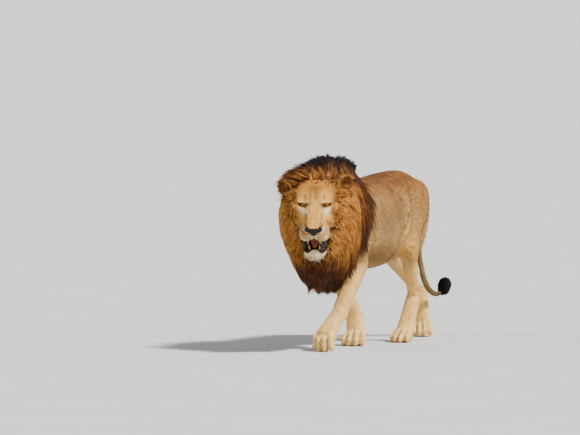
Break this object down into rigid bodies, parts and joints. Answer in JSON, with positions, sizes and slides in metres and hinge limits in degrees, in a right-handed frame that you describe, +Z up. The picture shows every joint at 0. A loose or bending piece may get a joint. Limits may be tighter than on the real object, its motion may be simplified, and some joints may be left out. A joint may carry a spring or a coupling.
{
  "type": "lion",
  "caption": "Adult male lion with a full dark-tipped mane, walking with its head low, mouth slightly open and tail hanging; life size, still model",
  "frame": {"origin": "On the floor, under the middle of the model's outline", "axes": "+Y from nose to tail along the body, so the lion faces -Y; +X is the lion's left; +Z is up"},
  "size_m": [0.475, 2.117, 1.0616],
  "materials": {
    "coat": "matte",
    "pale": "matte",
    "mane": "matte",
    "dark": "matte",
    "eye": "glossy",
    "nose": "satin",
    "mouth": "satin"
  },
  "bodies": {
    "root": {"ear_left": "coat", "ear_right": "coat", "eye_left": "eye", "eye_right": "eye", "foreleg_left_forearm": "pale", "foreleg_left_paw": "pale", "foreleg_left_upper": "coat", "foreleg_right_forearm": "pale", "foreleg_right_paw": "pale", "foreleg_right_upper": "coat", "head": "coat", "hindleg_left_paw": "pale", "hindleg_left_shank": "pale", "hindleg_left_thigh": "coat", "hindleg_right_paw": "pale", "hindleg_right_shank": "pale", "hindleg_right_thigh": "coat", "jaw": "coat", "mane_bib": "mane", "mane_crest": "mane", "mane_left": "mane", "mane_right": "mane", "neck": "coat", "nose": "nose", "tail_end": "coat", "tail_middle": "coat", "tail_root": "coat", "tail_tuft": "dark", "tongue": "mouth", "trunk_loins": "coat", "trunk_ribs": "coat", "trunk_rump": "coat"}
  },
  "joints": []
}
